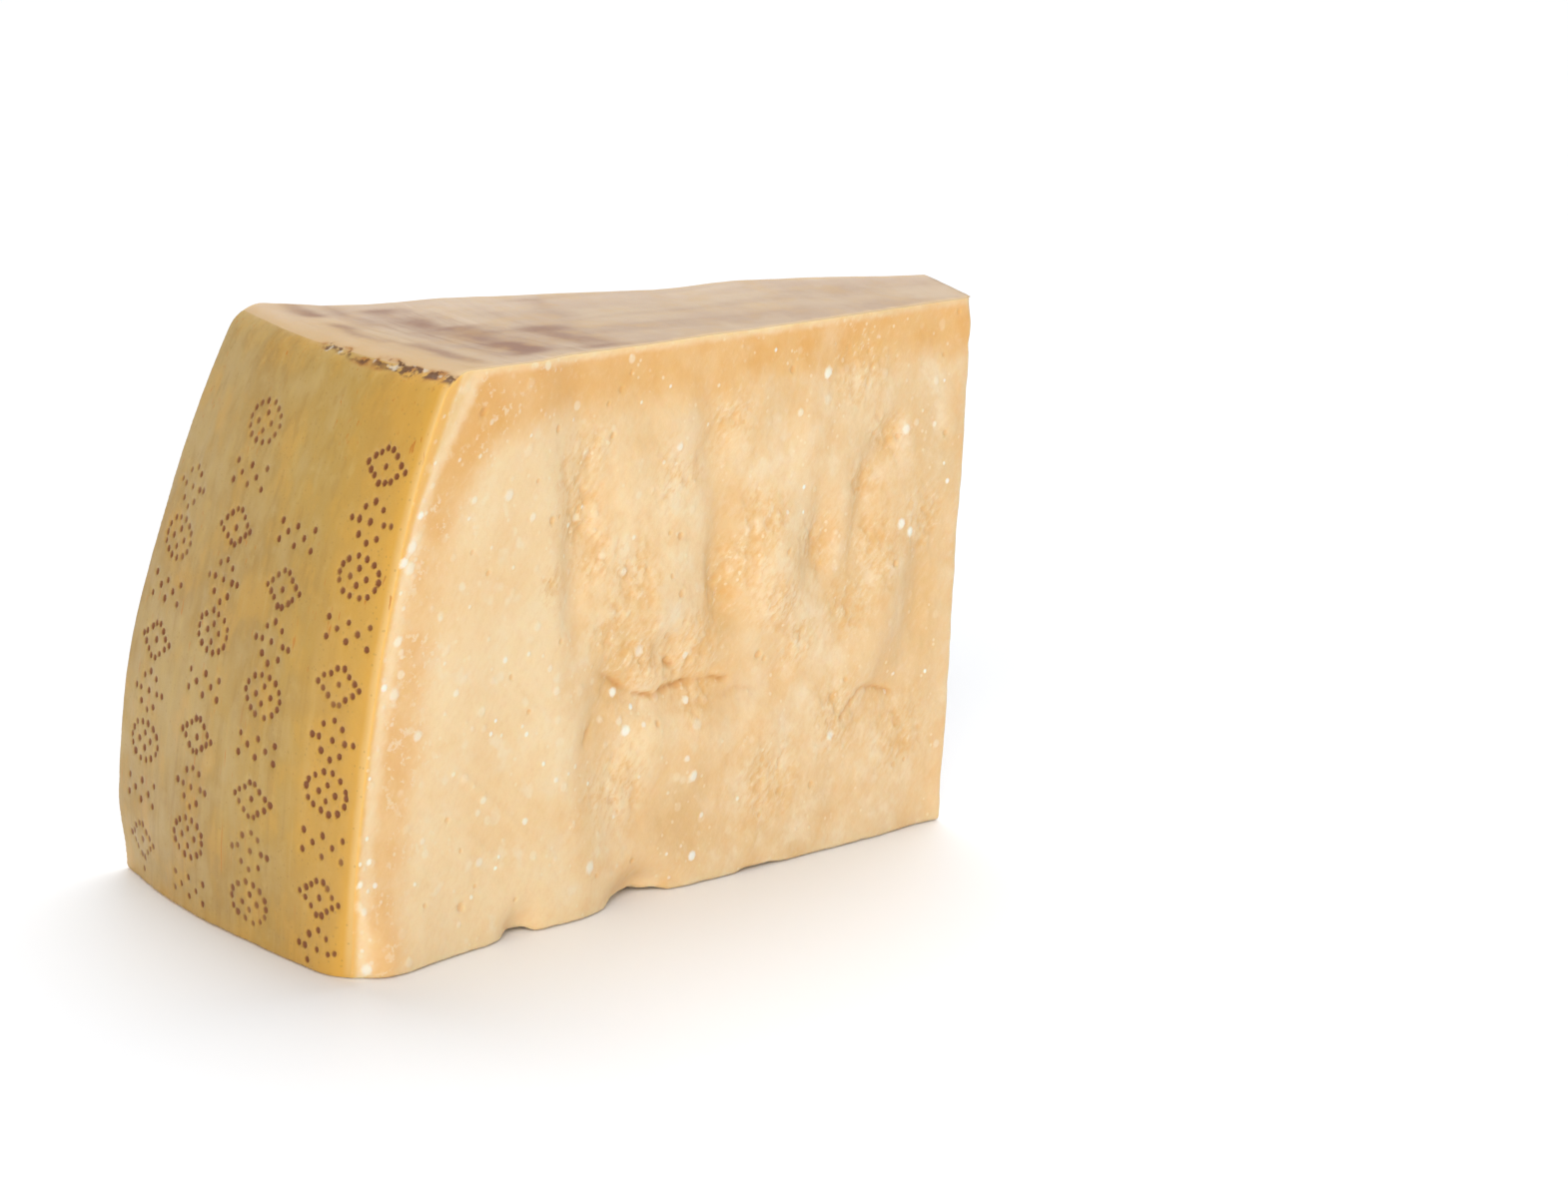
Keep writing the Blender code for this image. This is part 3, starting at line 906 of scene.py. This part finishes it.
class Shader:
    """A material's node tree, built by short calls."""

    def __init__(self, name):
        self.material = bpy.data.materials.new(name)
        self.material.use_nodes = True
        self.tree = self.material.node_tree
        self.surface = self.tree.nodes["Principled BSDF"]
        self.place = self.node("TexCoord").outputs["Object"]

    def node(self, kind, **settings):
        node = self.tree.nodes.new("ShaderNode" + kind)
        for key, value in settings.items():
            setattr(node, key, value)
        return node

    def feed(self, socket, value):
        if isinstance(value, bpy.types.NodeSocket):
            self.tree.links.new(value, socket)
        else:
            socket.default_value = value

    def math(self, operation, a, b=0.0, clamp=False):
        node = self.node("Math", operation=operation, use_clamp=clamp)
        self.feed(node.inputs[0], a)
        self.feed(node.inputs[1], b)
        return node.outputs[0]

    def attribute(self, name):
        return self.node("Attribute", attribute_name=name).outputs["Fac"]

    def stretched(self, scale, lean=0.0):
        """Coordinates for grain drawn out along one axis, after turning them about the wedge's width."""
        turned = self.node("Mapping")
        self.feed(turned.inputs["Vector"], self.place)
        turned.inputs["Rotation"].default_value = (0, math.radians(lean), 0)
        node = self.node("Mapping")
        self.feed(node.inputs["Vector"], turned.outputs[0])
        node.inputs["Scale"].default_value = scale
        return node.outputs[0]

    def turned(self, stretch):
        """Coordinates that run out from the wheel's axis and, drawn out, round it."""
        node = self.node("CombineXYZ")
        self.feed(node.inputs[0], self.math("MULTIPLY", self.attribute("radius"), MM))
        self.feed(node.inputs[1], self.math("MULTIPLY", self.attribute("arc"), MM * stretch))
        return node.outputs[0]

    def noise(self, size, detail=3.0, rough=0.5, at=None):
        """Noise with features about this many millimetres wide."""
        node = self.node("TexNoise")
        self.feed(node.inputs["Vector"], at or self.place)
        node.inputs["Scale"].default_value = 1 / (size * MM)
        node.inputs["Detail"].default_value = detail
        node.inputs["Roughness"].default_value = rough
        return node.outputs["Fac"]

    def cells(self, size, randomness=1.0):
        node = self.node("TexVoronoi")
        self.feed(node.inputs["Vector"], self.place)
        node.inputs["Scale"].default_value = 1 / (size * MM)
        node.inputs["Randomness"].default_value = randomness
        return node

    def ramp(self, value, low, high, to_low=0.0, to_high=1.0):
        """Carries value from low..high to to_low..to_high, with soft ends."""
        node = self.node("MapRange", interpolation_type="SMOOTHSTEP")
        self.feed(node.inputs[0], value)
        for socket, number in zip(node.inputs[1:5], (low, high, to_low, to_high)):
            socket.default_value = number
        return node.outputs[0]

    def mix(self, share, first, second):
        node = self.node("Mix", data_type="RGBA")
        self.feed(node.inputs["Factor"], share)
        self.feed(node.inputs[6], first)
        self.feed(node.inputs[7], second)
        return node.outputs[2]

    def bump(self, height, distance, strength, under=None):
        node = self.node("Bump")
        self.feed(node.inputs["Height"], height)
        node.inputs["Distance"].default_value = distance * MM
        node.inputs["Strength"].default_value = strength
        if under is not None:
            self.feed(node.inputs["Normal"], under)
        return node.outputs[0]

    def finish(self, colour, roughness, normal, subsurface, radius, coat=0.0):
        self.feed(self.surface.inputs["Base Color"], colour)
        self.feed(self.surface.inputs["Roughness"], roughness)
        self.feed(self.surface.inputs["Normal"], normal)
        self.surface.inputs["Subsurface Weight"].default_value = subsurface
        self.surface.inputs["Subsurface Radius"].default_value = (1.0, 0.62, 0.30)
        self.surface.inputs["Subsurface Scale"].default_value = radius * MM
        self.surface.inputs["IOR"].default_value = 1.45
        self.surface.inputs["Coat Weight"].default_value = coat
        self.surface.inputs["Coat Roughness"].default_value = 0.45
        return self.material


GRAIN_LEAN = -42.0  # the crumbs are drawn out along this slant


def paste_material():
    s = Shader("cheese_paste")
    waver = s.math("MULTIPLY", s.math("SUBTRACT", s.noise(3.2, 3), 0.5), 3.0)
    crust = s.math("ADD", s.attribute("crust"), waver)
    colour = s.mix(s.ramp(s.noise(30, 3), 0.40, 0.66), PASTE, PASTE_DEEP)
    grey = s.math("MULTIPLY", s.ramp(s.noise(16, 2), 0.45, 0.7), s.ramp(s.attribute("side_depth"), 45.0, 150.0, 0.0, 0.8))
    colour = s.mix(grey, colour, PASTE_GREY)
    colour = s.mix(s.math("MULTIPLY", s.ramp(s.noise(5.5, 2), 0.60, 0.72), 0.6), colour, PASTE_PALE)
    # Painted shade: the paste darker towards the tip
    colour = s.mix(s.ramp(s.attribute("side_depth"), 55.0, 165.0, 0.0, 0.5), colour, PASTE_SHADE)
    # Painted shade where the near face turns from the light
    shade = s.math("MULTIPLY", s.attribute("dull"), s.ramp(s.noise(3.5, 3), 0.35, 0.6, 0.6, 1.0))
    mottle = s.noise(7, 4, 0.55)
    dull = s.ramp(s.attribute("side_depth"), 35.0, 75.0, 0.35, 1.0)
    colour = s.mix(s.math("MULTIPLY", s.ramp(mottle, 0.52, 0.30, 0.0, 0.30), dull), colour, GOLD_AND_HOLLOW_SHADE)
    colour = s.mix(s.math("MULTIPLY", s.ramp(mottle, 0.50, 0.68, 0.0, 0.5), dull), colour, PASTE_PALE)
    colour = s.mix(shade, colour, PASTE_PAINTED_SHADE)
    # Painted shade in the grooves
    colour = s.mix(s.math("MULTIPLY", s.attribute("groove"), 0.24), colour, GOLD_AND_HOLLOW_SHADE)
    from_top = s.math("ADD", s.attribute("top_depth"), s.math("MULTIPLY", waver, 0.4))
    wider = s.ramp(s.attribute("top_depth"), 2.0, 26.0, 4.6, 0.0)
    from_side = s.math("SUBTRACT", s.math("ADD", s.attribute("side_depth"), waver), wider)
    begins = s.math("MULTIPLY", s.ramp(from_side, 2.6, 5.8), s.ramp(from_top, 0.5, 2.2))
    reach = s.math("MULTIPLY", s.ramp(s.attribute("top_depth"), 8.0, 30.0, 6.0, 0.0), s.ramp(s.attribute("side_depth"), 14.0, 34.0, 1.0, 0.0))
    band = s.math("MULTIPLY", begins, s.ramp(s.math("SUBTRACT", crust, reach), 6.5, 16.0, 1.0, 0.0))
    band = s.math("MULTIPLY", band, s.ramp(s.noise(18, 3), 0.25, 0.6, 0.6, 1.0))
    band = s.math("MULTIPLY", band, s.ramp(s.attribute("top_depth"), 12.0, 40.0, 1.0, 0.72))
    corner = s.math("MULTIPLY", s.ramp(s.attribute("top_depth"), 8.0, 34.0, 0.8, 0.0), s.ramp(s.attribute("side_depth"), 20.0, 70.0, 1.0, 0.15))
    deeper = s.math("MAXIMUM", s.ramp(s.noise(9, 3), 0.4, 0.7), corner)
    colour = s.mix(band, colour, s.mix(deeper, BAND, BAND_DEEP))
    line = s.math("ADD", s.attribute("side_depth"), s.math("MULTIPLY", waver, 0.6))
    line = s.ramp(s.math("SUBTRACT", line, wider), 0.6, 2.6, 0.6, 0.0)
    line = s.math("MAXIMUM", line, s.ramp(crust, 0.3, 1.3, 0.2, 0.0))
    colour = s.mix(line, colour, RIND_LINE)
    upper = s.ramp(s.attribute("top_depth"), 6.0, 45.0, 2.0, 0.0)
    gilt = s.math("ADD", s.attribute("side_depth"), s.math("MULTIPLY", waver, 0.3))
    gilt = s.ramp(s.math("SUBTRACT", gilt, upper), 0.2, 1.8, 0.7, 0.0)
    colour = s.mix(gilt, colour, RIND_EDGE)
    grain = s.noise(1.2, 4, 0.6, s.stretched((1.0, 1.0, 0.5), GRAIN_LEAN))
    tears = s.attribute("torn")
    gold = s.math("MULTIPLY", s.ramp(grain, 0.52, 0.36), s.math("ADD", s.math("MULTIPLY", tears, 0.34), 0.10))
    colour = s.mix(gold, colour, GOLD_AND_HOLLOW_SHADE)
    flecks = s.math("MULTIPLY", s.ramp(grain, 0.55, 0.70), s.math("ADD", s.math("MULTIPLY", tears, 0.5), 0.12))
    colour = s.mix(flecks, colour, PASTE_PALE)
    # Painted shade in the hollows of the fine relief and in its pits
    colour = s.mix(s.math("MULTIPLY", s.attribute("painted_hollow_shade"), 0.52), colour, GOLD_AND_HOLLOW_SHADE)
    speck = s.ramp(s.cells(2.4).outputs["Distance"], 0.10, 0.22, 1.0, 0.0)
    speck = s.math("MULTIPLY", speck, s.ramp(s.noise(10, 2), 0.48, 0.62, 0.0, 0.55))
    colour = s.mix(speck, colour, PASTE_PALE)
    beside = s.math("MULTIPLY", s.ramp(from_side, 1.5, 5.0), s.ramp(from_side, 14.0, 34.0, 1.0, 0.0))
    crumbs = s.math("MULTIPLY", s.ramp(s.noise(1.7, 3, 0.6), 0.54, 0.64), s.ramp(s.noise(9, 3), 0.40, 0.62))
    crumbs = s.math("MULTIPLY", crumbs, s.math("MULTIPLY", beside, 0.55))
    colour = s.mix(crumbs, colour, CRUMB)
    blotch = s.ramp(s.cells(6.5).outputs["Distance"], 0.10, 0.20, 1.0, 0.0)
    blotch = s.math("MULTIPLY", blotch, s.ramp(s.noise(14, 2), 0.42, 0.58, 0.0, 0.75))
    blotch = s.math("MULTIPLY", blotch, s.ramp(s.attribute("side_depth"), 40.0, 110.0, 1.0, 0.35))
    colour = s.mix(blotch, colour, PASTE_PALE)
    # Painted shade in the cracks, deeper colour where they are deeper
    colour = s.mix(s.math("MULTIPLY", s.attribute("crack"), s.ramp(s.noise(5, 2), 0.3, 0.6, 0.4, 1.0)), colour, CRACK)
    tint = s.attribute("tint")
    colour = s.mix(s.math("MAXIMUM", tint, 0.0), colour, CRYSTAL)
    # Painted shade in the small pits
    colour = s.mix(s.math("MAXIMUM", s.math("MULTIPLY", tint, -0.8), 0.0), colour, GOLD_AND_HOLLOW_SHADE)
    rough = s.ramp(s.noise(2.0, 3), 0.3, 0.7, 0.46, 0.64)
    normal = s.bump(s.noise(2.2, 5, 0.62), 0.22, 0.4)
    normal = s.bump(grain, 0.14, 0.4, normal)
    return s.finish(colour, rough, normal, 0.42, 3.0)


def side_rind_material():
    s = Shader("cheese_side_rind")
    streak = s.noise(2.6, 3, 0.55, s.stretched((1.0, 1.0, 0.08)))
    fine_streak = s.noise(0.9, 2, 0.5, s.stretched((1.0, 1.0, 0.05)))
    colour = s.mix(s.ramp(s.attribute("near_side"), 0.05, 0.85), RIND_FAR, RIND)
    colour = s.mix(s.ramp(s.noise(24, 3), 0.40, 0.68, 0.0, 0.5), colour, RIND_DARK)
    patchy = s.noise(8, 4, 0.55, s.stretched((1.0, 1.0, 0.7)))
    chalky = s.math("MULTIPLY", s.ramp(patchy, 0.46, 0.68, 0.0, 0.45), s.ramp(s.attribute("near_side"), 0.55, 0.95, 1.0, 0.25))
    colour = s.mix(chalky, colour, RIND_CHALKY)
    colour = s.mix(s.ramp(patchy, 0.52, 0.32, 0.0, 0.32), colour, RIND_GOLD)
    colour = s.mix(s.ramp(streak, 0.52, 0.72, 0.0, 0.40), colour, RIND_PALE)
    colour = s.mix(s.ramp(streak, 0.46, 0.32, 0.0, 0.35), colour, RIND_DARK)
    colour = s.mix(s.ramp(s.noise(4, 4, 0.6), 0.55, 0.75, 0.0, 0.4), colour, RIND_PALE)
    wander = s.math("MULTIPLY", s.noise(9, 2), 5.0)
    edge = s.math("ADD", s.attribute("to_near"), wander)
    colour = s.mix(s.ramp(edge, 3.0, 9.0, 0.9, 0.0), colour, RIND_EDGE)
    colour = s.mix(s.ramp(edge, 7.0, 30.0, 0.6, 0.0), colour, RIND_GOLD)
    pale = s.math("ADD", s.attribute("to_near"), s.math("MULTIPLY", wander, 0.2))
    colour = s.mix(s.ramp(pale, 0.9, 2.8, 0.5, 0.0), colour, RIND_LINE)
    foot = s.math("ADD", s.attribute("low"), wander)
    colour = s.mix(s.ramp(foot, 2.0, 8.0, 0.3, 0.0), colour, RIND_GOLD)
    scratch = s.math("MULTIPLY", s.ramp(fine_streak, 0.64, 0.72), s.ramp(s.noise(16, 2), 0.48, 0.62))
    colour = s.mix(s.math("MULTIPLY", scratch, 0.85), colour, SCRATCH)
    rim = s.math("ADD", s.attribute("top_depth"), s.math("MULTIPLY", s.noise(3, 3), 2.0))
    colour = s.mix(s.ramp(rim, 1.6, 3.2, 0.5, 0.0), colour, TOP_WARM)
    pore = s.ramp(s.cells(1.5).outputs["Distance"], 0.12, 0.22, 0.35, 0.0)
    colour = s.mix(pore, colour, RIND_DARK)
    colour = s.mix(s.ramp(s.attribute("tint"), 0.04, 0.80, 0.0, 0.97), colour, DOT)
    colour = rim_dirt(s, colour)
    rough = s.ramp(s.noise(5, 3), 0.3, 0.7, 0.40, 0.56)
    normal = s.bump(fine_streak, 0.14, 0.35)
    normal = s.bump(s.noise(1.1, 4, 0.6), 0.12, 0.4, normal)
    return s.finish(colour, rough, normal, 0.10, 1.5, 0.05)


def rim_dirt(s, colour):
    """Dark and chalky bits in the scrape along the rim."""
    scar = s.attribute("scar")
    rust = s.math("MULTIPLY", s.ramp(scar, 0.03, 0.35, 0.0, 0.85), s.ramp(s.noise(4.5, 3), 0.38, 0.55))
    dirt = s.math("MULTIPLY", s.ramp(scar, 0.16, 0.5, 0.0, 0.9), s.ramp(s.noise(2.4, 3, 0.6), 0.44, 0.54))
    chalk = s.math("MULTIPLY", s.ramp(scar, 0.10, 0.35, 0.0, 0.7), s.ramp(s.noise(3.4, 2), 0.58, 0.66))
    colour = s.mix(rust, colour, RUST)
    colour = s.mix(dirt, colour, DIRT)
    return s.mix(chalk, colour, CHALK)


def top_rind_material():
    s = Shader("cheese_top_rind")
    colour = s.mix(s.ramp(s.noise(14, 3), 0.35, 0.65), TOP, TOP_PALE)
    round_wheel = s.noise(2.6, 4, 0.6, s.turned(0.09))
    near_rim = s.ramp(s.attribute("side_depth"), 20.0, 65.0, 1.0, 0.06)
    colour = s.mix(s.math("MULTIPLY", s.ramp(round_wheel, 0.52, 0.70, 0.0, 0.75), near_rim), colour, TOP_LIGHT)
    colour = s.mix(s.math("MULTIPLY", s.ramp(round_wheel, 0.48, 0.32, 0.0, 0.42), near_rim), colour, TOP_STAIN)
    rim = s.math("ADD", s.attribute("side_depth"), s.math("MULTIPLY", s.noise(7, 3), 8.0))
    colour = s.mix(s.ramp(rim, 10.0, 26.0, 0.70, 0.0), colour, TOP_WARM)
    stain = s.math("ADD", s.attribute("stain"), s.math("MULTIPLY", s.math("SUBTRACT", s.noise(2.6, 4, 0.6), 0.5), 0.22))
    colour = s.mix(s.ramp(s.attribute("near_side"), 0.05, 0.45, 0.4, 0.0), colour, TOP_LIGHT)
    colour = s.mix(s.ramp(stain, 0.0, 0.85, 0.0, 1.0), colour, TOP_STAIN)
    colour = s.mix(s.ramp(s.noise(6, 4, 0.5), 0.45, 0.75, 0.0, 0.35), colour, TOP_WARM)
    line = s.math("ADD", s.attribute("side_depth"), s.math("MULTIPLY", s.noise(4, 3), 2.4))
    colour = s.mix(s.ramp(line, 2.4, 5.5, 0.7, 0.0), colour, TOP_WARM)
    edge = s.math("ADD", s.attribute("to_cut"), s.math("MULTIPLY", s.noise(3, 3), 2.4))
    colour = s.mix(s.ramp(edge, 1.2, 3.4, 0.75, 0.0), colour, TOP_LINE)
    colour = rim_dirt(s, colour)
    rough = s.ramp(s.noise(6, 3), 0.3, 0.7, 0.52, 0.70)
    normal = s.bump(s.noise(3.0, 4, 0.6), 0.25, 0.35)
    normal = s.bump(s.noise(0.8, 3, 0.6), 0.08, 0.4, normal)
    return s.finish(colour, rough, normal, 0.10, 1.5)


# ---------------------------------------------------------------- the piece


def outward(places, triangles, side):
    """Turns every side's triangles to face out."""
    middle = places.mean(axis=0)
    turned = triangles.copy()
    for number in np.unique(side):
        mine = side == number
        corners = places[triangles[mine]]
        normal = np.cross(corners[:, 1] - corners[:, 0], corners[:, 2] - corners[:, 0]).sum(axis=0)
        if normal @ (corners.mean(axis=(0, 1)) - middle) < 0:
            turned[mine] = triangles[mine][:, ::-1]
    return turned


def build_chunk():
    patches = build_patches()
    wedge, triangles, side, index = merge(patches)
    rise, tint = spot_fields(patches, index, len(wedge))
    places, measures = shape(wedge, rise)
    triangles = outward(places, triangles, side)
    mesh = bpy.data.meshes.new("cheese_wedge")
    mesh.from_pydata(places.tolist(), [], triangles.tolist())
    for material in (paste_material(), side_rind_material(), top_rind_material()):
        mesh.materials.append(material)
    slots = np.array([0, 0, 1, 0, 2, 0])  # near, far, rind, tip, top, bottom
    mesh.polygons.foreach_set("material_index", slots[side].astype(np.int32))
    for name, values in {**measures, "tint": tint}.items():
        layer = mesh.attributes.new(name, "FLOAT", "POINT")
        layer.data.foreach_set("value", np.asarray(values, np.float32))
    mesh.shade_smooth()
    mesh.update()
    piece = bpy.data.objects.new("cheese_wedge", mesh)
    bpy.context.scene.collection.objects.link(piece)
    print("cheese_wedge:", len(places), "points,", len(triangles), "triangles")
    return piece


# ---------------------------------------------------------------- stage, light and camera

AIM = Vector((0.0216, -0.0352, 0.0631))
AZIMUTH, ELEVATION, ROLL = math.radians(-38.28), math.radians(13.72), math.radians(3.2)
DISTANCE = 0.957
FOCAL = 108.3
SENSOR = 36.0


def add_camera():
    data = bpy.data.cameras.new("camera")
    data.lens, data.sensor_width = FOCAL, SENSOR
    data.clip_start, data.clip_end = 0.05, 60
    camera = bpy.data.objects.new("camera", data)
    back = Vector((
        math.sin(AZIMUTH) * math.cos(ELEVATION),
        -math.cos(AZIMUTH) * math.cos(ELEVATION),
        math.sin(ELEVATION),
    ))
    level = Vector((math.cos(AZIMUTH), math.sin(AZIMUTH), 0))
    upright = back.cross(level)
    right = level * math.cos(ROLL) + upright * math.sin(ROLL)
    up = upright * math.cos(ROLL) - level * math.sin(ROLL)
    turn = Matrix((right, up, back)).transposed().to_4x4()
    camera.matrix_world = Matrix.Translation(AIM + back * DISTANCE) @ turn
    bpy.context.scene.collection.objects.link(camera)
    bpy.context.scene.camera = camera


def add_sun(name, azimuth, elevation, spread, power):
    """A broad soft light far away, from a bearing and a height above the horizon in degrees."""
    data = bpy.data.lights.new(name, "SUN")
    data.energy, data.angle = power, math.radians(spread)
    light = bpy.data.objects.new(name, data)
    turn, rise = math.radians(azimuth), math.radians(elevation)
    towards = Vector((math.cos(turn) * math.cos(rise), math.sin(turn) * math.cos(rise), math.sin(rise)))
    light.rotation_euler = (-towards).to_track_quat("-Z", "Y").to_euler()
    bpy.context.scene.collection.objects.link(light)


def add_floor():
    mesh = bpy.data.meshes.new("floor")
    reach = 30.0
    mesh.from_pydata([(-reach, -reach, 0), (reach, -reach, 0), (reach, reach, 0), (-reach, reach, 0)],
                     [], [(0, 1, 2, 3)])
    s = Shader("floor")
    s.feed(s.surface.inputs["Base Color"], s.mix(s.noise(400), linear(250, 252, 255), linear(249, 251, 254)))
    s.surface.inputs["Roughness"].default_value = 0.45
    s.surface.inputs["Specular IOR Level"].default_value = 0.25
    mesh.materials.append(s.material)
    floor = bpy.data.objects.new("floor", mesh)
    floor.location.z = -0.0002
    bpy.context.scene.collection.objects.link(floor)


def add_world():
    world = bpy.data.worlds.new("studio")
    world.use_nodes = True
    sky = world.node_tree.nodes["Background"]
    sky.inputs["Color"].default_value = (1.0, 1.0, 1.0, 1.0)
    sky.inputs["Strength"].default_value = 0.32
    bpy.context.scene.world = world


def main():
    bpy.context.scene.view_settings.view_transform = "Standard"
    add_camera()
    add_world()
    add_floor()
    add_sun("key", -130, 30, 35, 1.8)
    add_sun("overhead", 50, 60, 50, 2.0)
    chunk = build_chunk()
    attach(chunk, "root")
    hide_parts(NODE)


main()
